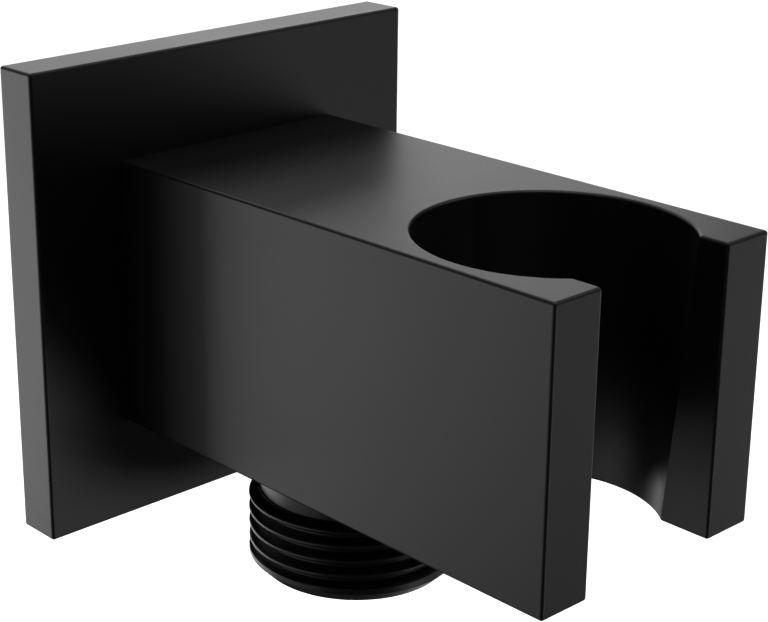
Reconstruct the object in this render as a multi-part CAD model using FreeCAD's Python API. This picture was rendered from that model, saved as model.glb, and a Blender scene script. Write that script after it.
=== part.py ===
import FreeCAD, Part
import math
import os

# Square wall outlet elbow with a hand-shower holder in its front end. Millimetres.
# +Z is up and the wall is the plane Y = 0. The fitting reaches out of the wall towards -Y.
# The origin is the point where the axis of the inlet crosses the wall.

# Every outer edge of the plate and the body is broken by a bevel of this size
edge_bevel = 0.3

# Wall plate: a square cover with a shallow pocket in its back for the gasket
plate_size = 47.0
plate_thickness = 5.0
plate_rim = 3.0
plate_pocket_depth = 3.0
plate_pocket_corner = 2.0
plate_hole_clearance = 0.4

# Hand-shower seat: a straight taper, open to the front through the slot for the hose
seat_top_diameter = 24.1
seat_bottom_diameter = 21.1
seat_wall = 1.5
seat_setback = 12.0
slot_width = 16.0

# Holder body: a square bar, flat against the plate, with the seat and slot in its front end
body_height = 27.1
body_length = 54.5

# Outlet port, bored up into the underside of the body, and the waterway that feeds it
outlet_from_plate = 18.4
port_thread_diameter = 18.0
port_bore_diameter = 16.1
port_roof = 8.0
waterway_diameter = 10.0
waterway_margin = 0.2

# Pipe thread of both nipples, G 1/2, as its crest cylinder
pipe_thread_diameter = 20.955
pipe_thread_depth = 1.162
thread_lead_in = 1.17

# Outlet nipple
outlet_reach = 12.5
outlet_neck_length = 3.9
outlet_bore_diameter = 12.0
outlet_hex_depth = 8.0
nose_clearance = 0.05
shank_clearance = 0.2

# Wall nipple: pipe thread into the wall, plain spigot into the body
socket_diameter = 16.0
socket_floor = 1.35
spigot_clearance = 0.08
spigot_end_gap = 0.3
spigot_lead_in = 0.4
wall_thread_length = 14.0
wall_bore_diameter = 10.0
wall_hex_across_flats = 10.2
wall_hex_depth = 8.0

# Lock screw, M4, cone pointed, from the underside of the body into the groove of the spigot
lock_screw_diameter = 4.0
lock_screw_recess = 1.5
lock_screw_from_plate = 3.5
lock_screw_hex_across_flats = 2.0
lock_screw_hex_depth = 2.2
lock_groove_depth = 0.9
lock_point_gap = 0.05

# O-rings of the two nipples, each squeezed between its groove and the bore it seals on
spigot_ring_squeezed = 1.4
spigot_groove_width = 2.4
spigot_groove_land = 0.7
outlet_ring_squeezed = 1.2
outlet_groove_width = 2.0
outlet_groove_land = 0.6
ring_side_gap = 0.15

# Plate washer: a flat rubber ring in the back of the body, between it and the plate
washer_thickness = 1.0
washer_width = 3.6
washer_hole_clearance = 0.5
washer_edge_gap = 0.1

# Wall gasket: a foam pad that fills the pocket of the plate round the pipe
gasket_edge_gap = 0.4
gasket_pipe_gap = 1.5

# Places that follow from the sizes above
body_back = -plate_thickness
body_front = body_back - body_length
body_width = seat_top_diameter + 2 * seat_wall
body_underside = -body_height / 2
body_top = body_height / 2
seat_axis = body_front + seat_setback
outlet_axis = body_back - outlet_from_plate
lock_screw_axis = body_back - lock_screw_from_plate

pipe_thread_radius = pipe_thread_diameter / 2
pipe_root_radius = pipe_thread_radius - pipe_thread_depth
waterway_radius = waterway_diameter / 2
port_bore_radius = port_bore_diameter / 2
port_thread_radius = port_thread_diameter / 2
socket_radius = socket_diameter / 2
spigot_radius = socket_radius - spigot_clearance
spigot_groove_radius = socket_radius - spigot_ring_squeezed
lock_groove_radius = spigot_radius - lock_groove_depth

socket_end = outlet_axis + port_bore_radius + socket_floor
spigot_tip = socket_end + spigot_end_gap
spigot_groove_front = spigot_tip + spigot_groove_land
spigot_groove_back = spigot_groove_front + spigot_groove_width
nose_top = -waterway_radius - waterway_margin
outlet_groove_top = nose_top - outlet_groove_land
outlet_groove_low = outlet_groove_top - outlet_groove_width
nose_base = outlet_groove_low - outlet_groove_land
outlet_end = body_underside - outlet_reach
washer_inner_radius = spigot_radius + washer_hole_clearance
washer_outer_radius = washer_inner_radius + washer_width

ALONG_Y = FreeCAD.Vector(0, 1, 0)
ALONG_Z = FreeCAD.Vector(0, 0, 1)
RUN_OUT = 1.0


def point(x, y, z):
    return FreeCAD.Vector(x, y, z)


def block(width, length, height, front, bottom):
    """A box centred on X, from Y = front backwards and from Z = bottom upwards."""
    return Part.makeBox(width, length, height, point(-width / 2, front, bottom))


def turned_about_inlet(outline):
    """A solid turned about the inlet's axis from (radius, y) corners."""
    corners = [point(radius, y, 0) for radius, y in outline]
    face = Part.Face(Part.makePolygon(corners + corners[:1]))
    return face.revolve(point(0, 0, 0), ALONG_Y, 360)


def turned_about_outlet(outline):
    """A solid turned about the outlet's axis from (radius, z) corners."""
    corners = [point(radius, outlet_axis, z) for radius, z in outline]
    face = Part.Face(Part.makePolygon(corners + corners[:1]))
    return face.revolve(point(0, outlet_axis, 0), ALONG_Z, 360)


def hexagon(across_flats, depth, start, direction):
    """A hexagonal prism from the point start, along direction."""
    corner = across_flats / math.sqrt(3)
    corners = []
    for i in range(7):
        angle = math.radians(60 * i)
        corners.append(point(corner * math.cos(angle), corner * math.sin(angle), 0))
    prism = Part.Face(Part.makePolygon(corners)).extrude(point(0, 0, depth))
    prism.Placement = FreeCAD.Placement(start, FreeCAD.Rotation(ALONG_Z, direction))
    return prism


def ring_section(inner, outer, low, high):
    """Outline of a squeezed O-ring: flat on its groove and its bore, bevelled to its free sides."""
    bevel = (outer - inner) / 3
    return [
        (inner, low + bevel),
        (inner + bevel, low),
        (outer - bevel, low),
        (outer, low + bevel),
        (outer, high - bevel),
        (outer - bevel, high),
        (inner + bevel, high),
        (inner, high - bevel),
    ]


def rounded_pad(side, corner, front, depth):
    """A square pad centred on the inlet, with round corners, from Y = front backwards."""
    pad = block(side, depth, side, front, -side / 2)
    upright = [edge for edge in pad.Edges if abs(edge.Length - depth) < 1e-6 and runs_along_y(edge)]
    return pad.makeFillet(corner, upright)


def runs_along_y(edge):
    ends = [vertex.Point for vertex in edge.Vertexes]
    return abs(ends[0].x - ends[1].x) < 1e-6 and abs(ends[0].z - ends[1].z) < 1e-6


def lies_on(edge, axis, value):
    """True when the whole edge lies in the plane where the coordinate axis has that value."""
    box = edge.BoundBox
    low = getattr(box, axis + "Min")
    high = getattr(box, axis + "Max")
    return abs(low - value) < 1e-4 and abs(high - value) < 1e-4


def wall_plate():
    """Square cover plate: a pocket for the gasket behind, and a hole that clears the spigot."""
    plate = block(plate_size, plate_thickness, plate_size, body_back, -plate_size / 2)
    plate = plate.makeChamfer(edge_bevel, plate.Edges)
    side = plate_size - 2 * plate_rim
    pocket = rounded_pad(side, plate_pocket_corner, -plate_pocket_depth, plate_pocket_depth + RUN_OUT)
    hole = Part.makeCylinder(
        spigot_radius + plate_hole_clearance,
        plate_thickness + 2 * RUN_OUT,
        point(0, body_back - RUN_OUT, 0),
        ALONG_Y,
    )
    return plate.cut(pocket).cut(hole)


def wall_gasket():
    """Foam pad in the pocket of the plate, flush with the wall, open round the pipe."""
    side = plate_size - 2 * plate_rim - 2 * gasket_edge_gap
    corner = plate_pocket_corner - gasket_edge_gap
    pad = rounded_pad(side, corner, -plate_pocket_depth, plate_pocket_depth)
    hole = Part.makeCylinder(
        pipe_thread_radius + gasket_pipe_gap,
        plate_pocket_depth + 2 * RUN_OUT,
        point(0, -plate_pocket_depth - RUN_OUT, 0),
        ALONG_Y,
    )
    return pad.cut(hole)


def holder_bar():
    """The bar with its seat and slot, every edge bevelled except those against the plate."""
    bar = block(body_width, body_length, body_height, body_front, body_underside)
    seat = Part.makeCone(
        seat_bottom_diameter / 2,
        seat_top_diameter / 2,
        body_height,
        point(0, seat_axis, body_underside),
    )
    slot = block(slot_width, seat_setback + RUN_OUT, body_height, body_front - RUN_OUT, body_underside)
    bar = bar.cut(seat.fuse(slot))
    open_edges = [edge for edge in bar.Edges if not lies_on(edge, "Y", body_back)]
    return bar.makeChamfer(edge_bevel, open_edges)


def outlet_port():
    """What is bored from below: the nipple's thread and, above its step, a smooth bore to the roof."""
    roof = body_top - port_roof
    return turned_about_outlet([
        (0, body_underside - RUN_OUT),
        (port_thread_radius, body_underside - RUN_OUT),
        (port_thread_radius, nose_base),
        (port_bore_radius, nose_base),
        (port_bore_radius, roof),
        (0, roof),
    ])


def inlet_bores():
    """What is drilled from the back: the spigot's socket, then the waterway into the outlet port."""
    return turned_about_inlet([
        (0, body_back + RUN_OUT),
        (socket_radius, body_back + RUN_OUT),
        (socket_radius, socket_end),
        (waterway_radius, socket_end),
        (waterway_radius, outlet_axis),
        (0, outlet_axis),
    ])


def washer_seat():
    """Shallow counterbore in the back of the body for the plate washer."""
    radius = washer_outer_radius + washer_edge_gap
    depth = washer_thickness + RUN_OUT
    return Part.makeCylinder(radius, depth, point(0, body_back - washer_thickness, 0), ALONG_Y)


def lock_screw_hole():
    """Tapped hole from the underside of the body into the spigot's socket."""
    depth = -body_underside + RUN_OUT
    start = point(0, lock_screw_axis, body_underside - RUN_OUT)
    return Part.makeCylinder(lock_screw_diameter / 2, depth, start, ALONG_Z)


def holder_body():
    """The bar with its waterway, from the socket in its back to the port in its underside."""
    body = holder_bar()
    for cavity in (outlet_port(), inlet_bores(), washer_seat(), lock_screw_hole()):
        body = body.cut(cavity)
    return body


def outlet_nipple():
    """Turned nipple for the hose: pipe thread and neck below, port thread and sealing nose above."""
    bore = outlet_bore_diameter / 2
    nose = port_bore_radius - nose_clearance
    groove = port_bore_radius - outlet_ring_squeezed
    shank_top = nose_base - shank_clearance
    neck_low = body_underside - outlet_neck_length
    nipple = turned_about_outlet([
        (bore, outlet_end),
        (pipe_thread_radius - thread_lead_in, outlet_end),
        (pipe_thread_radius, outlet_end + thread_lead_in),
        (pipe_thread_radius, neck_low - pipe_thread_depth),
        (pipe_root_radius, neck_low),
        (pipe_root_radius, body_underside),
        (port_thread_radius, body_underside),
        (port_thread_radius, shank_top),
        (nose, shank_top),
        (nose, outlet_groove_low),
        (groove, outlet_groove_low),
        (groove, outlet_groove_top),
        (nose, outlet_groove_top),
        (nose, nose_top),
        (bore, nose_top),
    ])
    start = point(0, outlet_axis, outlet_end)
    return nipple.cut(hexagon(outlet_bore_diameter, outlet_hex_depth, start, ALONG_Z))


def wall_nipple():
    """Turned nipple: pipe thread into the wall, and a spigot with its O-ring and lock grooves."""
    bore = wall_bore_diameter / 2
    nipple = turned_about_inlet([
        (bore, spigot_tip),
        (spigot_radius - spigot_lead_in, spigot_tip),
        (spigot_radius, spigot_tip + spigot_lead_in),
        (spigot_radius, spigot_groove_front),
        (spigot_groove_radius, spigot_groove_front),
        (spigot_groove_radius, spigot_groove_back),
        (spigot_radius, spigot_groove_back),
        (spigot_radius, lock_screw_axis - lock_groove_depth),
        (lock_groove_radius, lock_screw_axis),
        (spigot_radius, lock_screw_axis + lock_groove_depth),
        (spigot_radius, 0),
        (pipe_thread_radius, 0),
        (pipe_thread_radius, wall_thread_length - thread_lead_in),
        (pipe_thread_radius - thread_lead_in, wall_thread_length),
        (bore, wall_thread_length),
    ])
    start = point(0, spigot_tip, 0)
    return nipple.cut(hexagon(wall_hex_across_flats, wall_hex_depth, start, ALONG_Y))


def spigot_o_ring():
    """O-ring in the groove of the spigot, sealing on the wall of the socket."""
    return turned_about_inlet(ring_section(
        spigot_groove_radius,
        socket_radius,
        spigot_groove_front + ring_side_gap,
        spigot_groove_back - ring_side_gap,
    ))


def outlet_o_ring():
    """O-ring round the nose of the outlet nipple, sealing on the smooth bore of the port."""
    return turned_about_outlet(ring_section(
        port_bore_radius - outlet_ring_squeezed,
        port_bore_radius,
        outlet_groove_low + ring_side_gap,
        outlet_groove_top - ring_side_gap,
    ))


def plate_washer():
    """Flat rubber ring round the spigot, in the back of the body and flush with it."""
    start = point(0, body_back - washer_thickness, 0)
    ring = Part.makeCylinder(washer_outer_radius, washer_thickness, start, ALONG_Y)
    hole = Part.makeCylinder(washer_inner_radius, washer_thickness, start, ALONG_Y)
    return ring.cut(hole)


def lock_screw():
    """Cone-pointed set screw with a hexagon socket in its lower end."""
    radius = lock_screw_diameter / 2
    tip = -lock_groove_radius - lock_point_gap
    foot = body_underside + lock_screw_recess
    screw = Part.makeCylinder(radius, tip - radius - foot, point(0, lock_screw_axis, foot), ALONG_Z)
    cone = Part.makeCone(radius, 0, radius, point(0, lock_screw_axis, tip - radius), ALONG_Z)
    start = point(0, lock_screw_axis, foot)
    socket = hexagon(lock_screw_hex_across_flats, lock_screw_hex_depth, start, ALONG_Z)
    return screw.fuse(cone).removeSplitter().cut(socket)


PIECES = {
    "holder_body": holder_body,
    "wall_plate": wall_plate,
    "wall_gasket": wall_gasket,
    "wall_nipple": wall_nipple,
    "outlet_nipple": outlet_nipple,
    "spigot_o_ring": spigot_o_ring,
    "outlet_o_ring": outlet_o_ring,
    "plate_washer": plate_washer,
    "lock_screw": lock_screw,
}

os.makedirs("parts", exist_ok=True)
for name, make in PIECES.items():
    make().exportStep("parts/" + name + ".step")
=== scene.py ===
"""Matte black wall outlet elbow with a hand-shower seat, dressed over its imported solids.

Metres, +Z up, the wall is the plane Y = 0 and the fitting reaches out of it towards -Y.
"""

import math

import bpy
import numpy as np
from mathutils import Matrix, Vector
from mathutils.geometry import tessellate_polygon


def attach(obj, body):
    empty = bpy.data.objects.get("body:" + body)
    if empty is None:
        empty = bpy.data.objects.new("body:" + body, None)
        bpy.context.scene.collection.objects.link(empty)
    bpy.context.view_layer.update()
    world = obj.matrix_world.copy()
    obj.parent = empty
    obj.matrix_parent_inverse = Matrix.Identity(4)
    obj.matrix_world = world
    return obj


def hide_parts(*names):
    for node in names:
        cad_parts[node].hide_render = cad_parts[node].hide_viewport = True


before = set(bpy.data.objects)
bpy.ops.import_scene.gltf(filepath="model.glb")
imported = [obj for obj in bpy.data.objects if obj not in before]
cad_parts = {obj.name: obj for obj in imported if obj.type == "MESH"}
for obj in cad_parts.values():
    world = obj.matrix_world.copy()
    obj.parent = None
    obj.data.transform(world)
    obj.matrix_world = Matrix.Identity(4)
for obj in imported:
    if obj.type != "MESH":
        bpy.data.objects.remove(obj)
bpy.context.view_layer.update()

MM = 0.001
WELD = 1e-7              # points nearer than this are one point
CELL_OFFSET = 0.37       # keeps round numbers off the borders between the cells that weld points

# The bar with its seat, slot and bores
BAR_HALF = 13.55 * MM
BAR_BACK = -5.0 * MM
BAR_FRONT = -59.5 * MM
SLOT_HALF = 8.0 * MM
SEAT_AXIS = -47.5 * MM
SEAT_TOP = 12.05 * MM
SEAT_BOTTOM = 10.55 * MM
SEAT_LEAN = math.atan((SEAT_TOP - SEAT_BOTTOM) / (2 * BAR_HALF))
EDGE = 0.30 * MM         # rounding of every outer edge

OUTLET_AXIS = -23.4 * MM
PORT_THREAD = 9.0 * MM
PORT_STEP = -8.4 * MM
PORT_BORE = 8.05 * MM
PORT_ROOF = 5.55 * MM
SOCKET = 8.0 * MM
SOCKET_END = -14.0 * MM
WATERWAY = 5.0 * MM
WASHER_SEAT = 12.12 * MM
WASHER_FLOOR = -6.0 * MM
SCREW_HOLE = 2.0 * MM
SCREW_AXIS = -8.5 * MM

# The wall plate and the foam pad in its pocket
PLATE_HALF = 23.5 * MM
PLATE_HOLE = 8.32 * MM
POCKET_HALF = 20.5 * MM
POCKET_CORNER = 2.0 * MM
POCKET_FLOOR = -3.0 * MM
PAD_HALF = 20.1 * MM
PAD_CORNER = 1.6 * MM
PAD_HOLE = 11.98 * MM
PAD_EDGE = 0.5 * MM
PAD_HOLE_ROUND = 0.99 * PAD_EDGE  # leaves a little of the straight before each arc

# Pipe thread, with the pitch that the photograph shows and the rounding that its coat leaves
THREAD_CREST = 10.4775 * MM
THREAD_PITCH = 1.53 * MM
THREAD_FLANK = math.radians(25)   # between a flank and a plane square to the axis
CREST_ROUND = 0.28 * MM
ROOT_ROUND = 0.22 * MM
THREAD_SOFTNESS = 0.05 * MM       # how far the coat and the tool soften where the thread meets a cone
CONE_SOFTNESS = 0.5 * THREAD_SOFTNESS
CONE_SLOPE = 2.0                  # radius gained to length where a neck widens to the thread
THREAD_ABSENT = 1.0 * MM          # how far outside the crests the cut lies where no thread is cut

# Outlet nipple, heights
HOSE_END = -26.05 * MM
HOSE_END_RADIUS = 9.3075 * MM
NECK = 9.35 * MM
NECK_LOW = -17.78 * MM
HOSE_CREST = -18.77 * MM          # highest crest on the left, where the photograph shows it
HOSE_CREST_ANGLE = math.radians(139.8)
HOSE_THREAD_LOW = -24.45 * MM     # the thread stops here, above a plain end
THREAD_STOP = 0.45 * MM           # length over which it stops
HOSE_HEX = 12.0 * MM
HOSE_HEX_FLOOR = -18.05 * MM
HOSE_BORE = 6.0 * MM
SHANK_TOP = -8.6 * MM
SHANK_ROUND = 0.3 * MM
NOSE = 8.0 * MM
NOSE_TOP = -5.2 * MM
NOSE_GROOVE = 6.85 * MM
NOSE_GROOVE_LOW = -7.8 * MM
NOSE_GROOVE_TOP = -5.8 * MM
GROOVE_LIP = 0.1 * MM             # roundings of the seals' grooves, at the lip and in the foot
GROOVE_FOOT = 0.15 * MM

# Wall nipple, places along the inlet
WALL_END = 14.0 * MM
WALL_END_RADIUS = 9.3075 * MM
WALL_CREST = 0.4 * THREAD_PITCH   # a crest at angle 0
WALL_MOUTH_ROUND = 0.5 * MM
SPIGOT = 7.92 * MM
SPIGOT_TIP = -13.7 * MM
SPIGOT_CHAMFER = 0.4 * MM
SPIGOT_GROOVE = 6.6 * MM
SPIGOT_GROOVE_FRONT = -13.0 * MM
SPIGOT_GROOVE_BACK = -10.6 * MM
LOCK_GROOVE_DEPTH = 0.9 * MM
LOCK_GROOVE_ROUND = 0.1 * MM
WALL_BORE = 5.0 * MM
WALL_HEX = 10.2 * MM
WALL_HEX_FLOOR = -5.7 * MM

# Seals as they are squeezed: both ends along the axis, and the rounding of the section's corners
SPIGOT_RING = (-12.85 * MM, -10.75 * MM, 0.6 * MM)
NOSE_RING = (-7.65 * MM, -5.95 * MM, 0.5 * MM)
WASHER_HOLE = 8.42 * MM
WASHER_RIM = 12.02 * MM
WASHER_ROUND = 0.15 * MM

X, Y, Z = np.eye(3)
INLET = (np.zeros(3), X, -Z, Y)                         # origin, two directions across, axis
OUTLET = (np.array([0, OUTLET_AXIS, 0]), X, Y, Z)

# How finely the surfaces are divided
AROUND = 144             # columns about an axis, a multiple of six for the hexagons
ROUNDING_POINTS = 7      # on a turned rounding, and on the fillet between slot and seat
EDGE_POINTS = 8          # across the rounding of an outer edge
CORNER_POINTS = 9        # on a corner of a square plan
SEAT_POINTS = 61         # on each half of the seat
PITCH_ROWS = 24          # to a pitch of thread
WALL_ROWS = 24           # up the wall of a bore with a window in it
BAR_ROWS = 8             # on the straight part of a side, with both of its ends
PLATE_ROWS = 2
PAD_ROWS = 4
WINDOW_LOOPS = 9         # from a window to the borders of its half of the wall


# Surfaces

class Shell:
    """One closed surface, gathered from patches that meet where their points coincide."""

    def __init__(self):
        self.points, self.normals, self.triangles = [], [], []
        self.count = 0

    def add(self, points, normals, triangles):
        """Takes triangles over points, each turned round where it faces against its normals."""
        corners = points[triangles]
        facing = np.cross(corners[:, 1] - corners[:, 0], corners[:, 2] - corners[:, 0])
        against = (facing * normals[triangles].sum(1)).sum(1) < 0
        triangles = np.where(against[:, None], triangles[:, ::-1], triangles)
        self.points.append(points)
        self.normals.append(normals)
        self.triangles.append(triangles + self.count)
        self.count += len(points)

    def grid(self, points, normals):
        """A patch that is a grid of points, rows by columns, with a normal at each point."""
        points, normals = np.broadcast_arrays(points, normals)
        rows, columns = points.shape[:2]
        at = np.arange(rows * columns).reshape(rows, columns)
        a, b, c, d = at[:-1, :-1], at[:-1, 1:], at[1:, 1:], at[1:, :-1]
        halves = [np.stack([a, b, c], -1).reshape(-1, 3), np.stack([a, c, d], -1).reshape(-1, 3)]
        self.add(points.reshape(-1, 3), normals.reshape(-1, 3), np.concatenate(halves))

    def flat(self, normal, outline, *holes):
        """A plane face inside one loop of points and outside the others."""
        loops = [tidy_loop(loop) for loop in (outline, *holes)]
        across = [i for i in range(3) if abs(normal[i]) < 0.5]
        flat_loops = [[Vector((*point, 0.0)) for point in loop[:, across]] for loop in loops]
        points = np.concatenate(loops)
        triangles = np.array(tessellate_polygon(flat_loops))
        self.add(points, np.broadcast_to(normal, points.shape), triangles)

    def welded(self):
        """The points, triangles and corner normals, with coinciding points made one."""
        points, normals = np.concatenate(self.points), np.concatenate(self.normals)
        triangles = np.concatenate(self.triangles)
        cells = np.floor(points / WELD + CELL_OFFSET).astype(np.int64)
        _, first, place = np.unique(cells, axis=0, return_index=True, return_inverse=True)
        corners = place.reshape(-1)[triangles]
        whole = (corners != np.roll(corners, 1, axis=1)).all(1)
        return points[first], corners[whole], normals[triangles[whole]]


def tidy_loop(loop):
    """The loop without points that repeat the one before them."""
    step = np.linalg.norm(loop - np.roll(loop, 1, axis=0), axis=1)
    return loop[step > WELD]


def spun(line, radius, along, angle):
    """Points about a line (origin, across, up, axis): origin + radius on the circle + along the axis."""
    origin, across, up, axis = line
    radius, along, angle = np.broadcast_arrays(radius, along, angle)
    radial = np.cos(angle)[..., None] * across + np.sin(angle)[..., None] * up
    return origin + radius[..., None] * radial + along[..., None] * axis


def aimed(line, outwards, along, turning, angle):
    """Unit normals about a line, from their parts away from it, along it and round it."""
    _, across, up, axis = line
    outwards, along, turning, angle = np.broadcast_arrays(outwards, along, turning, angle)
    radial = np.cos(angle)[..., None] * across + np.sin(angle)[..., None] * up
    tangent = np.cos(angle)[..., None] * up - np.sin(angle)[..., None] * across
    normals = outwards[..., None] * radial + along[..., None] * axis + turning[..., None] * tangent
    return normals / np.linalg.norm(normals, axis=-1, keepdims=True)


def circle(line, radius, along):
    """A loop of points about a line."""
    return spun(line, radius, along, np.linspace(0, 2 * np.pi, AROUND + 1))


def lathe(shell, line, corners):
    """Turns a profile about a line.

    Each corner is (radius, along, rounding). The profile has the material on its left, so its
    normal is its direction turned a quarter to the right. Between corners it is straight, and a
    rounded corner is an arc that leaves both straights at a tangent.
    """
    corners = np.array(corners, float)
    places, rounding = corners[:, :2], corners[:, 2]
    steps = np.diff(places, axis=0)
    ways = steps / np.linalg.norm(steps, axis=1, keepdims=True)
    starts, ends = places[:-1].copy(), places[1:].copy()
    for i in range(1, len(places) - 1):
        if rounding[i]:
            turn = math.atan2(ways[i - 1][0] * ways[i][1] - ways[i - 1][1] * ways[i][0],
                              ways[i - 1] @ ways[i])
            trim = rounding[i] * math.tan(abs(turn) / 2)
            ends[i - 1] = places[i] - trim * ways[i - 1]
            starts[i] = places[i] + trim * ways[i]
            side = math.copysign(1.0, turn)
            first = math.atan2(-ways[i - 1][0], ways[i - 1][1])
            sweep = first + turn * np.linspace(0, 1, ROUNDING_POINTS)
            facing = np.stack([np.cos(sweep), np.sin(sweep)], 1)
            centre = ends[i - 1] - side * rounding[i] * facing[0]
            lathe_strip(shell, line, centre + side * rounding[i] * facing, facing)
    for start, end, way in zip(starts, ends, ways):
        facing = np.array([way[1], -way[0]])
        lathe_strip(shell, line, np.array([start, end]), np.array([facing, facing]))


def lathe_strip(shell, line, profile, facing):
    """A smooth run of a turned profile, as rows of (radius, along) with their normals."""
    angle = np.linspace(0, 2 * np.pi, AROUND + 1)[None]
    shell.grid(spun(line, profile[:, :1], profile[:, 1:], angle),
               aimed(line, facing[:, :1], facing[:, 1:], 0.0, angle))


def bore_wall(shell, line, radius, start, end):
    """The straight wall of a round bore, which faces its axis."""
    profile = np.array([[radius, start], [radius, end]])
    lathe_strip(shell, line, profile, np.array([[-1, 0], [-1, 0]]))


def thread_form(phase):
    """Radius of a rounded thread, from the distance along the axis to a crest's middle.

    Round the crest it is an arc, then a straight flank, then a smaller arc in the root.
    """
    crest_end = CREST_ROUND * math.cos(THREAD_FLANK)
    root_end = ROOT_ROUND * math.cos(THREAD_FLANK)
    root_edge = ROOT_ROUND * math.sin(THREAD_FLANK)
    flank_length = THREAD_PITCH / 2 - crest_end - root_end
    offset = np.abs((phase / THREAD_PITCH + 0.5) % 1.0 - 0.5) * THREAD_PITCH
    past = THREAD_PITCH / 2 - offset
    crest = CREST_ROUND - np.sqrt(CREST_ROUND ** 2 - np.minimum(offset, crest_end) ** 2)
    flank = np.clip(offset - crest_end, 0, flank_length) / math.tan(THREAD_FLANK)
    root = np.sqrt(ROOT_ROUND ** 2 - np.minimum(past, root_end) ** 2) - root_edge
    return THREAD_CREST - crest - flank - root


def lesser(a, b, softness):
    """The smaller of two fields, blended over the softness where they cross."""
    return (a + b - np.sqrt((a - b) ** 2 + softness ** 2)) / 2


def threaded(shell, line, low, high, blank, crest_at, stop=None):
    """A right-hand thread cut on a turned blank, with its ends at the blank's own radius.

    The radius is the lesser of the blank's and the thread's, and the thread's phase is the
    distance along the axis less one pitch a turn. Below the stop the thread rises out of the
    blank. Normals come from the radius's slopes.
    """
    rows = int(round((high - low) / THREAD_PITCH * PITCH_ROWS)) + 1
    along = np.linspace(low, high, rows)[:, None]
    angle = np.linspace(0, 2 * np.pi, AROUND + 1)[None]
    fade = np.clip(np.minimum(along - low, high - along) / THREAD_SOFTNESS, 0, 1)

    def radius(along, angle):
        """Radius of the finished surface: the blank's at both ends, and the lesser one between."""
        cut = thread_form(along - crest_at - THREAD_PITCH * angle / (2 * np.pi))
        if stop is not None:
            ended = np.clip((stop - along) / THREAD_STOP + 0.5, 0, 1)
            cut = cut + ended * (THREAD_CREST + THREAD_ABSENT - cut)
        return blank(along) + (lesser(blank(along), cut, THREAD_SOFTNESS) - blank(along)) * fade

    length_step = 0.005 * MM
    angle_step = 1e-3
    rise = radius(along + length_step, angle) - radius(along - length_step, angle)
    rise = rise / (2 * length_step)
    swing = radius(along, angle + angle_step) - radius(along, angle - angle_step)
    swing = swing / (2 * angle_step)
    shell.grid(spun(line, radius(along, angle), along, angle),
               aimed(line, 1.0, -rise, -swing / radius(along, angle), angle))


def hexagon_radius(flats, angle):
    """Distance from a hexagon's middle to its side at an angle, with a corner at angle 0."""
    return flats / 2 / np.cos(angle % (np.pi / 3) - np.pi / 6)


def hex_socket(shell, line, end, floor, flats, bore, rim):
    """The end face at one end of a turned piece, and a hexagonal socket in it down to the bore."""
    angle = np.linspace(0, 2 * np.pi, AROUND + 1)
    side = hexagon_radius(flats, angle)
    back = -line[3]
    shell.grid(np.stack([spun(line, rim, end, angle), spun(line, side, end, angle)]), back)
    shell.grid(np.stack([spun(line, side, floor, angle), spun(line, bore, floor, angle)]), back)
    for i in range(6):
        part = angle[i * AROUND // 6:(i + 1) * AROUND // 6 + 1]
        reach = side[i * AROUND // 6:(i + 1) * AROUND // 6 + 1]
        middle = np.full(1, (i + 0.5) * np.pi / 3)
        shell.grid(np.stack([spun(line, reach, end, part), spun(line, reach, floor, part)]),
                   aimed(line, -1.0, 0.0, 0.0, middle))


def rim_rows(low, high, edge, between):
    """Rows of a slab whose two rims are rounded: level, inset and the tilt of the normal.

    Between the rims the side is straight, and its rows include the ends of both roundings.
    """
    tilt = np.linspace(0, np.pi / 2, EDGE_POINTS)
    inset = edge * (1 - np.cos(tilt))
    rise = edge * np.sin(tilt)
    middle = np.linspace(low + edge, high - edge, between)
    return (np.concatenate([low + edge - rise[::-1], middle[1:-1], high - edge + rise])[:, None],
            np.concatenate([inset[::-1], np.zeros(between - 2), inset])[:, None],
            np.concatenate([-tilt[::-1], np.zeros(between - 2), tilt])[:, None])


def arc(centre_a, centre_b, radius, start, end, facing, count):
    """Columns of a plan: an arc in degrees, with normals outwards (1) or inwards (-1)."""
    angle = np.radians(np.linspace(start, end, count))
    normal_a, normal_b = facing * np.cos(angle), facing * np.sin(angle)
    return (centre_a + radius * np.cos(angle), centre_b + radius * np.sin(angle), normal_a, normal_b)


def square_plan(half, corner):
    """Plan of a square with round corners, closed: points and normals as four rows."""
    c = half - corner
    corners = [arc(a * c, b * c, corner, start, start + 90, 1, CORNER_POINTS)
               for a, b, start in ((1, 1, 0), (-1, 1, 90), (-1, -1, 180), (1, -1, 270))]
    plan = np.concatenate([np.stack(part) for part in corners], axis=1)
    return np.concatenate([plan, plan[:, :1]], axis=1)


def slab(shell, plan, rows):
    """The side of a flat piece that stands on the wall: its plan is in X and Z, its rows along Y."""
    a, b, normal_a, normal_b = plan
    level, inset, tilt = rows
    points = np.stack(np.broadcast_arrays(a - inset * normal_a, level, b - inset * normal_b), -1)
    flat = np.cos(tilt)
    normals = np.stack(np.broadcast_arrays(normal_a * flat, np.sin(tilt), normal_b * flat), -1)
    shell.grid(points, normals)
    return points


# The object's pieces

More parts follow.
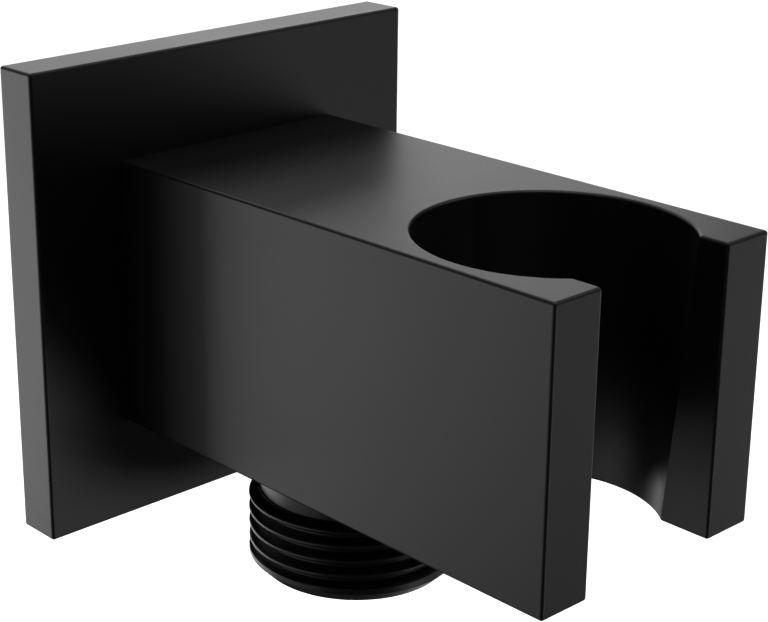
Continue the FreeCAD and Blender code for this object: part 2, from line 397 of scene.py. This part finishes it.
def seat_bar_surface():
    """The bar: its plan swept up from the underside to the top, with every cavity in it."""
    shell = Shell()
    level, inset, tilt = rim_rows(-BAR_HALF, BAR_HALF, EDGE, BAR_ROWS)
    a, b, normal_a, normal_b, lean = bar_plan(level)
    lean = lean * SEAT_LEAN * (1 - np.abs(tilt) / (np.pi / 2))
    points = np.stack(np.broadcast_arrays(a - inset * normal_a, b - inset * normal_b, level), -1)
    level_part = np.cos(tilt + lean)
    normals = np.stack([normal_a * level_part, normal_b * level_part, np.sin(tilt + lean)], -1)
    shell.grid(points, normals)

    port_window = window_wall(shell, OUTLET, PORT_BORE, (PORT_STEP, PORT_ROOF),
                              WATERWAY, 0.0, (X, Y))
    socket_window = window_wall(shell, INLET, SOCKET, (SOCKET_END, WASHER_FLOOR),
                                SCREW_HOLE, SCREW_AXIS, (X, -Z))

    port_mouth = circle(OUTLET, PORT_THREAD, -BAR_HALF)
    screw_mouth = socket_window["curve"] * [1, 1, 0] + [0, 0, -BAR_HALF]
    shell.flat(Z, points[-1])
    shell.flat(-Z, points[0], port_mouth, screw_mouth)
    back_loop = np.concatenate([points[:, 0], points[::-1, -1]])
    washer_rim = circle(INLET, WASHER_SEAT, BAR_BACK)
    shell.flat(Y, back_loop, washer_rim)

    bore_wall(shell, OUTLET, PORT_THREAD, -BAR_HALF, PORT_STEP)
    shell.flat(-Z, circle(OUTLET, PORT_THREAD, PORT_STEP), port_window["low"])
    shell.flat(-Z, port_window["high"])

    bore_wall(shell, INLET, WASHER_SEAT, BAR_BACK, WASHER_FLOOR)
    shell.flat(Y, circle(INLET, WASHER_SEAT, WASHER_FLOOR), socket_window["high"])
    waterway_end = port_window["curve"] * [1, 0, 1] + [0, SOCKET_END, 0]
    shell.flat(Y, socket_window["low"], waterway_end)
    inwards = -port_window["curve"] * [1, 0, 1] / WATERWAY
    shell.grid(np.stack([port_window["curve"], waterway_end]), np.stack([inwards, inwards]))
    inwards = (SCREW_AXIS * Y - socket_window["curve"]) * [1, 1, 0] / SCREW_HOLE
    shell.grid(np.stack([socket_window["curve"], screw_mouth]), np.stack([inwards, inwards]))
    return shell


def bar_plan(level):
    """Plan of the bar at each level, from its back left corner round slot and seat to its back right.

    Straight walls are pairs of columns. The seat's radius grows evenly with the level, and where
    the slot cuts it a fillet arc touches both. Rows of the result: X, Y, the normal's X and Y, and
    how much of the seat's lean the column has.
    """
    seat = SEAT_BOTTOM + (SEAT_TOP - SEAT_BOTTOM) * (level + BAR_HALF) / (2 * BAR_HALF)
    fillet_x = -SLOT_HALF - EDGE
    fillet_y = SEAT_AXIS - np.sqrt((seat + EDGE) ** 2 - fillet_x ** 2)
    touch = np.degrees(np.arctan2(SEAT_AXIS - fillet_y, -fillet_x))

    def run(x, y, normal_x, normal_y):
        """Columns that are the same at every level and don't lean."""
        shape = (len(level), np.size(normal_x))
        return np.stack([np.broadcast_to(row, shape) for row in (x, y, normal_x, normal_y, 0.0)])

    def corner(x, start, end):
        """Columns of a rounded upright edge at the front, from one direction to another."""
        return run(*arc(x, BAR_FRONT + EDGE, EDGE, start, end, 1, EDGE_POINTS))

    share = np.linspace(0, 1, ROUNDING_POINTS)
    turn = np.radians(touch * share)
    fillet = np.stack(np.broadcast_arrays(
        fillet_x + EDGE * np.cos(turn), fillet_y + EDGE * np.sin(turn),
        np.cos(turn), np.sin(turn), share))
    around = np.radians(180 + touch + np.linspace(0, 1, SEAT_POINTS) * (-90 - touch))
    quarter = np.stack(np.broadcast_arrays(seat * np.cos(around), SEAT_AXIS + seat * np.sin(around),
                                           -np.cos(around), -np.sin(around), 1.0))
    left = np.concatenate([
        run([-BAR_HALF], BAR_BACK, [-1.0], 0.0),
        corner(-BAR_HALF + EDGE, 180, 270),
        corner(-SLOT_HALF - EDGE, 270, 360),
        fillet,
        quarter,
    ], axis=2)
    right = left[:, :, ::-1] * np.array([-1, 1, -1, 1, 1])[:, None, None]
    return np.concatenate([left, right], axis=2)


def window_wall(shell, line, radius, ends, window, middle, facing):
    """Wall of a bore, seen from inside, with the window where a smaller round bore enters it square.

    The window's curve is the smaller circle lifted on to the wall. On the side that faces it the
    wall runs straight from that curve to the four borders of a half turn, mixed in angle and in
    distance along; the other half is a plain grid. Returns the two end loops and the curve.
    """
    origin, _, _, axis = line
    side, towards = facing
    columns, rows = AROUND // 2, WALL_ROWS

    def on_wall(angle, along):
        """Points of the wall and their normals, with angle 0 where the wall faces the window's bore."""
        angle, along = np.broadcast_arrays(angle, along)
        ring = np.sin(angle)[..., None] * side + np.cos(angle)[..., None] * towards
        return origin + radius * ring + along[..., None] * axis, -ring

    low, high = ends
    across, up = np.linspace(-1, 1, columns + 1)[:-1], np.linspace(-1, 1, rows + 1)[:-1]
    border_angle = np.concatenate([-across, -np.ones(rows), across, np.ones(rows), [1.0]]) * np.pi / 2
    border_share = np.concatenate([np.ones(columns), -up, -np.ones(columns), up, [1.0]])
    border_along = (low + high) / 2 + border_share * (high - low) / 2
    quarter = np.pi / 2
    turn = np.concatenate([np.linspace((i + 0.5) * quarter, (i + 1.5) * quarter, count + 1)[:-1]
                           for i, count in enumerate((columns, rows, columns, rows))])
    turn = np.append(turn, turn[0] + 2 * np.pi)
    window_angle = np.arcsin(window * np.cos(turn) / radius)
    window_along = middle + window * np.sin(turn)
    mix = np.linspace(0, 1, WINDOW_LOOPS)[:, None]
    mixed_angle = window_angle * (1 - mix) + border_angle * mix
    mixed_along = window_along * (1 - mix) + border_along * mix
    shell.grid(*on_wall(mixed_angle, mixed_along))
    rest = np.linspace(np.pi / 2, 3 * np.pi / 2, columns + 1)[None]
    levels = np.linspace(low, high, rows + 1)[:, None]
    shell.grid(*on_wall(rest, levels))
    full = np.concatenate([across, np.linspace(1, 3, columns + 1)]) * np.pi / 2
    return {"low": on_wall(full, low)[0], "high": on_wall(full, high)[0],
            "curve": on_wall(window_angle, window_along)[0]}


def cover_plate_surface():
    """The wall plate: a square slab with round edges, its pocket behind and the hole for the spigot."""
    shell = Shell()
    rim = slab(shell, square_plan(PLATE_HALF, EDGE), rim_rows(BAR_BACK, 0.0, EDGE, PLATE_ROWS))
    pocket = square_plan(POCKET_HALF, POCKET_CORNER)
    level = np.array([[POCKET_FLOOR], [0.0]])
    wall = np.stack(np.broadcast_arrays(pocket[0], level, pocket[1]), -1)
    shell.grid(wall, np.stack(np.broadcast_arrays(-pocket[2], 0.0, -pocket[3]), -1)[None])
    shell.flat(-Y, rim[0], circle(INLET, PLATE_HOLE, BAR_BACK))
    shell.flat(Y, rim[-1], wall[1])
    shell.flat(Y, wall[0], circle(INLET, PLATE_HOLE, POCKET_FLOOR))
    bore_wall(shell, INLET, PLATE_HOLE, BAR_BACK, POCKET_FLOOR)
    return shell


def foam_pad_surface():
    """The foam pad: a square slab with soft edges, open round the pipe."""
    shell = Shell()
    rim = slab(shell, square_plan(PAD_HALF, PAD_CORNER),
               rim_rows(POCKET_FLOOR, 0.0, PAD_EDGE, PAD_ROWS))
    mouth = PAD_HOLE + PAD_EDGE
    lathe(shell, INLET, [(mouth, 0.0, 0), (PAD_HOLE, 0.0, PAD_HOLE_ROUND),
                         (PAD_HOLE, POCKET_FLOOR, PAD_HOLE_ROUND), (mouth, POCKET_FLOOR, 0)])
    shell.flat(-Y, rim[0], circle(INLET, mouth, POCKET_FLOOR))
    shell.flat(Y, rim[-1], circle(INLET, mouth, 0.0))
    return shell


def hose_nipple_surface():
    """The outlet nipple: pipe thread and neck below the bar, shank and sealing nose inside it."""
    def blank(along):
        """Radius before the thread is cut: a 45 degree lead-in, the crests, a cone up to the neck."""
        lead_in = HOSE_END_RADIUS + (along - HOSE_END)
        shoulder = NECK + np.maximum(NECK_LOW - along, 0) * CONE_SLOPE
        return lesser(np.minimum(lead_in, THREAD_CREST), shoulder, CONE_SOFTNESS)

    shell = Shell()
    crest_at = HOSE_CREST - THREAD_PITCH * HOSE_CREST_ANGLE / (2 * np.pi)
    threaded(shell, OUTLET, HOSE_END, -BAR_HALF, blank, crest_at, HOSE_THREAD_LOW)
    neck = blank(-BAR_HALF)
    lathe(shell, OUTLET, [
        (neck, -BAR_HALF, 0), (PORT_THREAD, -BAR_HALF, 0), (PORT_THREAD, SHANK_TOP, SHANK_ROUND),
        (NOSE, SHANK_TOP, 0), (NOSE, NOSE_GROOVE_LOW, GROOVE_LIP),
        (NOSE_GROOVE, NOSE_GROOVE_LOW, GROOVE_FOOT), (NOSE_GROOVE, NOSE_GROOVE_TOP, GROOVE_FOOT),
        (NOSE, NOSE_GROOVE_TOP, GROOVE_LIP), (NOSE, NOSE_TOP, SHANK_ROUND),
        (HOSE_BORE, NOSE_TOP, 0), (HOSE_BORE, HOSE_HEX_FLOOR, 0),
    ])
    rim = blank(HOSE_END)
    hex_socket(shell, OUTLET, HOSE_END, HOSE_HEX_FLOOR, HOSE_HEX, HOSE_BORE, rim)
    return shell


def inlet_nipple_surface():
    """The wall nipple: pipe thread behind the plate, and a spigot with its two grooves before it."""
    def blank(along):
        """Radius before the thread is cut: a cone at the plate, the crests, a 45 degree lead-in."""
        lead_in = WALL_END_RADIUS + (WALL_END - along)
        return np.minimum(np.minimum(lead_in, THREAD_CREST), WALL_END_RADIUS + CONE_SLOPE * along)

    shell = Shell()
    threaded(shell, INLET, 0.0, WALL_END, blank, WALL_CREST)
    front, back = blank(0.0), blank(WALL_END)
    rim = SPIGOT - SPIGOT_CHAMFER
    lathe(shell, INLET, [
        (rim, SPIGOT_TIP, 0), (SPIGOT, SPIGOT_TIP + SPIGOT_CHAMFER, 0),
        (SPIGOT, SPIGOT_GROOVE_FRONT, GROOVE_LIP), (SPIGOT_GROOVE, SPIGOT_GROOVE_FRONT, GROOVE_FOOT),
        (SPIGOT_GROOVE, SPIGOT_GROOVE_BACK, GROOVE_FOOT), (SPIGOT, SPIGOT_GROOVE_BACK, GROOVE_LIP),
        (SPIGOT, SCREW_AXIS - LOCK_GROOVE_DEPTH, 0),
        (SPIGOT - LOCK_GROOVE_DEPTH, SCREW_AXIS, LOCK_GROOVE_ROUND),
        (SPIGOT, SCREW_AXIS + LOCK_GROOVE_DEPTH, 0), (SPIGOT, 0.0, 0), (front, 0.0, 0),
    ])
    lathe(shell, INLET, [(back, WALL_END, 0), (WALL_BORE, WALL_END, WALL_MOUTH_ROUND),
                         (WALL_BORE, WALL_HEX_FLOOR, 0)])
    hex_socket(shell, INLET, SPIGOT_TIP, WALL_HEX_FLOOR, WALL_HEX, WALL_BORE, rim)
    return shell


def ring_surface(line, inner, outer, low, high, rounding):
    """A ring turned about a line, with all four corners of its section rounded."""
    shell = Shell()
    middle = (low + high) / 2
    lathe(shell, line, [(outer, middle, 0), (outer, high, rounding), (inner, high, rounding),
                        (inner, low, rounding), (outer, low, rounding), (outer, middle, 0)])
    return shell


def piece(name, shell, paint, node):
    """Makes a shell an object of its own, which stands for a CAD node."""
    points, triangles, normals = shell.welded()
    mesh = bpy.data.meshes.new(name)
    mesh.from_pydata(points, [], triangles, shade_flat=False)
    mesh.normals_split_custom_set(normals.reshape(-1, 3).tolist())
    mesh.materials.append(paint)
    made = bpy.data.objects.new(name, mesh)
    bpy.context.scene.collection.objects.link(made)
    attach(made, "root")
    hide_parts(node)
    return made


# Finishes

class Signal:
    """A socket of a node tree; sums, differences and products of it add Math nodes."""

    def __init__(self, tree, socket):
        self.tree, self.socket = tree, socket

    def maths(self, operation, first, second):
        """A Math node on two signals, or on a signal and a number."""
        return self.tree.node("ShaderNodeMath", {"operation": operation}, {0: first, 1: second})

    def __add__(self, other):
        return self.maths("ADD", self, other)

    def __radd__(self, other):
        return self.maths("ADD", other, self)

    def __sub__(self, other):
        return self.maths("SUBTRACT", self, other)

    def __rsub__(self, other):
        return self.maths("SUBTRACT", other, self)

    def __mul__(self, other):
        return self.maths("MULTIPLY", self, other)


class Tree:
    """The node tree of a material or a world, emptied, and the one way to add a node to it."""

    def __init__(self, owner):
        owner.use_nodes = True
        self.nodes, self.links = owner.node_tree.nodes, owner.node_tree.links
        self.nodes.clear()

    def node(self, kind, settings=None, inputs=None, output=0):
        """Adds a node: its settings first, then the values or links of its sockets.

        Gives one of its outputs, or nothing where it has none.
        """
        made = self.nodes.new(kind)
        for name, value in (settings or {}).items():
            if name == "stops":
                for stop, (at, colour) in zip(made.color_ramp.elements, value):
                    stop.position = at
                    stop.color = colour
            else:
                setattr(made, name, value)
        for name, value in (inputs or {}).items():
            if isinstance(value, Signal):
                self.links.new(value.socket, made.inputs[name])
            else:
                made.inputs[name].default_value = value
        return Signal(self, made.outputs[output]) if made.outputs else None


class Finish(Tree):
    """A material and the nodes that make it."""

    def __init__(self, name):
        self.material = bpy.data.materials.new(name)
        super().__init__(self.material)
        self.place = self.node("ShaderNodeTexCoord", output="Object")

    def noise(self, scale, detail, stretch=None):
        """Noise about 0.5 in the object's own space, with features of about 1 / scale metres."""
        place = self.place
        if stretch:
            place = self.node("ShaderNodeMapping", inputs={"Vector": place, "Scale": stretch})
        sockets = {"Vector": place, "Scale": scale, "Detail": detail}
        return self.node("ShaderNodeTexNoise", inputs=sockets)

    def ramp(self, value, *stops):
        """A colour from a number, through stops of (place, grey or colour)."""
        colours = [(at, (*np.broadcast_to(colour, 3).tolist(), 1.0)) for at, colour in stops]
        return self.node("ShaderNodeValToRGB", {"stops": colours}, {"Fac": value})

    def relief(self, height, depth, strength):
        """A normal from a height between 0 and 1, which stands for this depth in metres."""
        sockets = {"Height": height, "Distance": depth, "Strength": strength}
        return self.node("ShaderNodeBump", inputs=sockets)

    def surface(self, **values):
        """The shader, with its sockets' names in small letters, and the finished material."""
        sockets = {name.replace("_", " ").title().replace("Ior", "IOR"): value
                   for name, value in values.items()}
        shader = self.node("ShaderNodeBsdfPrincipled", inputs=sockets)
        self.node("ShaderNodeOutputMaterial", inputs={"Surface": shader})
        return self.material


COAT_ROUGHNESS = 0.40
COAT_SPECULAR = 0.5
COAT_GREY = 0.004


def black_coat():
    """Satin black powder coat: a fine grain over a soft flow, and a slow haze in gloss and tone."""
    finish = Finish("black_powder_coat")
    grain = finish.noise(scale=5200.0, detail=3.0)
    flow = finish.noise(scale=420.0, detail=2.0)
    haze = finish.noise(scale=60.0, detail=3.0)
    tone = finish.ramp(haze, (0.3, COAT_GREY * 0.88), (0.7, COAT_GREY * 1.12))
    height = grain * 0.7 + flow * 0.3
    return finish.surface(
        base_color=tone,
        roughness=COAT_ROUGHNESS + (haze - 0.5) * 0.06 + (grain - 0.5) * 0.05,
        specular_ior_level=COAT_SPECULAR,
        normal=finish.relief(height, depth=0.006 * MM, strength=0.6),
    )


def turned_brass():
    """Bare brass off the lathe: rings of tool marks along its axis and a little tarnish."""
    finish = Finish("turned_brass")
    marks = finish.noise(scale=9000.0, detail=2.0, stretch=(0.02, 1.0, 0.02))
    tarnish = finish.noise(scale=260.0, detail=4.0)
    tone = finish.ramp(tarnish, (0.35, (0.50, 0.33, 0.13)), (0.65, (0.74, 0.53, 0.25)))
    return finish.surface(
        base_color=tone,
        metallic=1.0,
        roughness=0.26 + (tarnish - 0.5) * 0.25 + (marks - 0.5) * 0.10,
        normal=finish.relief(marks, depth=0.004 * MM, strength=0.7),
    )


def plain_stainless():
    """Stainless steel of a small screw, drawn and lightly tumbled."""
    finish = Finish("plain_stainless")
    scuff = finish.noise(scale=2600.0, detail=4.0)
    tone = finish.ramp(scuff, (0.3, 0.46), (0.7, 0.60))
    return finish.surface(
        base_color=tone,
        metallic=1.0,
        roughness=0.30 + (scuff - 0.5) * 0.2,
        normal=finish.relief(scuff, depth=0.004 * MM, strength=0.5),
    )


def cell_foam():
    """Closed-cell black foam: a skin of small round cells, in slow patches."""
    finish = Finish("closed_cell_foam")
    cells = finish.node("ShaderNodeTexVoronoi", inputs={"Vector": finish.place, "Scale": 2300.0})
    patches = finish.noise(scale=300.0, detail=3.0)
    tone = finish.ramp(cells * 0.8 + patches * 0.3, (0.1, 0.018), (0.8, 0.052))
    return finish.surface(
        base_color=tone,
        roughness=0.82 + (patches - 0.5) * 0.12,
        specular_ior_level=0.3,
        normal=finish.relief(1.0 - cells, depth=0.05 * MM, strength=0.8),
    )


def seal_rubber():
    """Moulded black rubber with a dry, slightly dusty surface."""
    finish = Finish("seal_rubber")
    skin = finish.noise(scale=3600.0, detail=3.0)
    dust = finish.noise(scale=500.0, detail=3.0)
    tone = finish.ramp(dust, (0.35, 0.012), (0.75, 0.024))
    return finish.surface(
        base_color=tone,
        roughness=0.55 + (dust - 0.5) * 0.2,
        normal=finish.relief(skin, depth=0.006 * MM, strength=0.6),
    )


def pale_floor():
    """Matt white studio floor."""
    finish = Finish("studio_floor")
    mottle = finish.noise(scale=3.0, detail=2.0)
    tone = finish.ramp(mottle, (0.3, 0.88), (0.7, 0.90))
    return finish.surface(base_color=tone, roughness=0.9, specular_ior_level=0.2)


# The studio

FLOOR_LEVEL = -0.60
FLOOR_SIZE = 14.0
FLOOR_POINTS = 9         # along a side of the floor
FLOOR_LAMP_HEIGHT = 2.4
FLOOR_LAMP_SIZE = 12.0
FLOOR_RADIANCE = 1.6
SKY_SEEN = 1.0           # strength of the world for the camera, and for the light it gives
SKY_LIGHT = 0.05

# The camera, as the photograph's straight edges and its outline give it
SENSOR = 36.0
LENS = 88.53
SHIFT = (0.1302, -0.0397)
CAMERA_PLACE = (-0.11654, -0.14664, 0.06164)
CAMERA_AZIMUTH = -41.088
CAMERA_ELEVATION = 19.074
CAMERA_ROLL = -0.387
NEAR_CLIP = 0.01
FAR_CLIP = 50.0


def studio_floor():
    """A wide pale floor, far enough below the fitting to be seen past it from every side.

    It has an overhead lamp of its own, and the black coat mirrors only the soft boxes: cards keep
    a white floor off gloss black in the same way.
    """
    half = FLOOR_SIZE / 2
    side = np.linspace(-half, half, FLOOR_POINTS)
    a, b = np.meshgrid(side, side)
    shell = Shell()
    shell.grid(np.stack([a, b, np.full_like(a, FLOOR_LEVEL)], -1), Z)
    points, triangles, _ = shell.welded()
    mesh = bpy.data.meshes.new("studio_floor")
    mesh.from_pydata(points, [], triangles)
    mesh.materials.append(pale_floor())
    floor = bpy.data.objects.new("studio_floor", mesh)
    bpy.context.scene.collection.objects.link(floor)
    floor.visible_glossy = floor.visible_diffuse = False
    lit = bpy.data.collections.new("floor_only")
    lit.objects.link(floor)
    above = lamp("floor_light", Vector((0, 0, FLOOR_LAMP_HEIGHT)), Vector(Z),
                 FLOOR_LAMP_SIZE, FLOOR_LAMP_SIZE, FLOOR_RADIANCE)
    above.light_linking.receiver_collection = lit


def aim_away(azimuth, elevation):
    """Direction from the fitting; azimuth 0 is in front of the wall and 90 on the right of it."""
    a, e = math.radians(azimuth), math.radians(elevation)
    return Vector((math.sin(a) * math.cos(e), -math.cos(a) * math.cos(e), math.sin(e)))


def soft_box(name, azimuth, elevation, distance, width, height, radiance):
    """A flat lamp that faces the fitting, at a direction and distance from it."""
    away = aim_away(azimuth, elevation)
    lamp(name, away * distance, away, width, height, radiance)


def lamp(name, place, away, width, height, radiance):
    """A rectangular area lamp that shines against the direction away, hidden from the camera.

    Its power is pi times its area times its radiance.
    """
    light = bpy.data.lights.new(name, "AREA")
    light.shape = "RECTANGLE"
    light.size, light.size_y = width, height
    light.energy = radiance * math.pi * width * height
    made = bpy.data.objects.new(name, light)
    made.matrix_world = Matrix.Translation(place) @ away.to_track_quat("Z", "Y").to_matrix().to_4x4()
    made.visible_camera = False
    bpy.context.scene.collection.objects.link(made)
    return made


SOFT_BOXES = [           # name, azimuth, elevation, distance, width, height, radiance
    ("front_low", 23, -22, 0.9, 0.35, 0.30, 1.85),
    ("front_right", 34, -7, 0.9, 0.46, 0.28, 0.55),
    ("right", 83, -17, 0.9, 0.60, 0.50, 1.2),
    ("back_low", 192.5, -16, 0.9, 0.90, 0.57, 2.4),
    ("left_back", 247, -8, 1.1, 1.37, 0.37, 0.5),
    ("left_mid", 231, -16, 0.9, 0.36, 0.57, 0.36),
    ("left_low", 258, -20, 0.9, 0.62, 0.45, 0.5),
    ("right_back", 137, 11.5, 1.5, 0.72, 0.42, 2.25),
    ("right_near", 124, 12, 1.5, 0.40, 0.42, 0.25),
    ("back_high", 165, 40, 1.5, 1.50, 0.80, 0.77),
    ("top", 0, 88, 1.5, 1.20, 1.20, 1.4),
    ("front_high", 62, 45, 1.2, 0.80, 0.60, 0.8),
    ("under_right", 118, -38, 0.9, 0.50, 0.40, 1.0),
]


def studio_sky(seen, lit):
    """The world: one brightness for the camera and another for the light it gives."""
    world = bpy.data.worlds.new("studio")
    bpy.context.scene.world = world
    tree = Tree(world)
    to_camera = tree.node("ShaderNodeLightPath", output="Is Camera Ray")
    lighting = tree.node("ShaderNodeBackground", inputs={"Strength": lit})
    backdrop = tree.node("ShaderNodeBackground", inputs={"Strength": seen})
    mixed = tree.node("ShaderNodeMixShader", inputs={0: to_camera, 1: lighting, 2: backdrop})
    tree.node("ShaderNodeOutputWorld", inputs={"Surface": mixed})


def photo_camera():
    """The camera at the photograph's place, with its long lens."""
    camera = bpy.data.cameras.new("photo_camera")
    camera.sensor_width = SENSOR
    camera.lens = LENS
    camera.shift_x, camera.shift_y = SHIFT
    camera.clip_start, camera.clip_end = NEAR_CLIP, FAR_CLIP
    back = aim_away(CAMERA_AZIMUTH, CAMERA_ELEVATION)
    roll = Matrix.Rotation(math.radians(CAMERA_ROLL), 4, "Z")
    turned = (-back).to_track_quat("-Z", "Y").to_matrix().to_4x4() @ roll
    seen = bpy.data.objects.new("photo_camera", camera)
    seen.matrix_world = Matrix.Translation(CAMERA_PLACE) @ turned
    bpy.context.scene.collection.objects.link(seen)
    bpy.context.scene.camera = seen


COAT = black_coat()
BRASS = turned_brass()
RUBBER = seal_rubber()

piece("seat_bar", seat_bar_surface(), COAT, "holder_body")
piece("cover_plate", cover_plate_surface(), COAT, "wall_plate")
piece("hose_nipple", hose_nipple_surface(), COAT, "outlet_nipple")
piece("inlet_nipple", inlet_nipple_surface(), BRASS, "wall_nipple")
pad = piece("foam_pad", foam_pad_surface(), cell_foam(), "wall_gasket")
piece("spigot_ring", ring_surface(INLET, SPIGOT_GROOVE, SOCKET, *SPIGOT_RING),
      RUBBER, "spigot_o_ring")
piece("nose_ring", ring_surface(OUTLET, NOSE_GROOVE, PORT_BORE, *NOSE_RING),
      RUBBER, "outlet_o_ring")
piece("back_washer",
      ring_surface(INLET, WASHER_HOLE, WASHER_RIM, WASHER_FLOOR, BAR_BACK, WASHER_ROUND),
      RUBBER, "plate_washer")

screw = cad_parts["lock_screw"]
screw.data.materials.clear()
screw.data.materials.append(plain_stainless())

studio_floor()
studio_sky(SKY_SEEN, SKY_LIGHT)
for box in SOFT_BOXES:
    soft_box(*box)
photo_camera()
bpy.context.scene.view_settings.view_transform = "Standard"
bpy.context.scene.view_settings.look = "None"
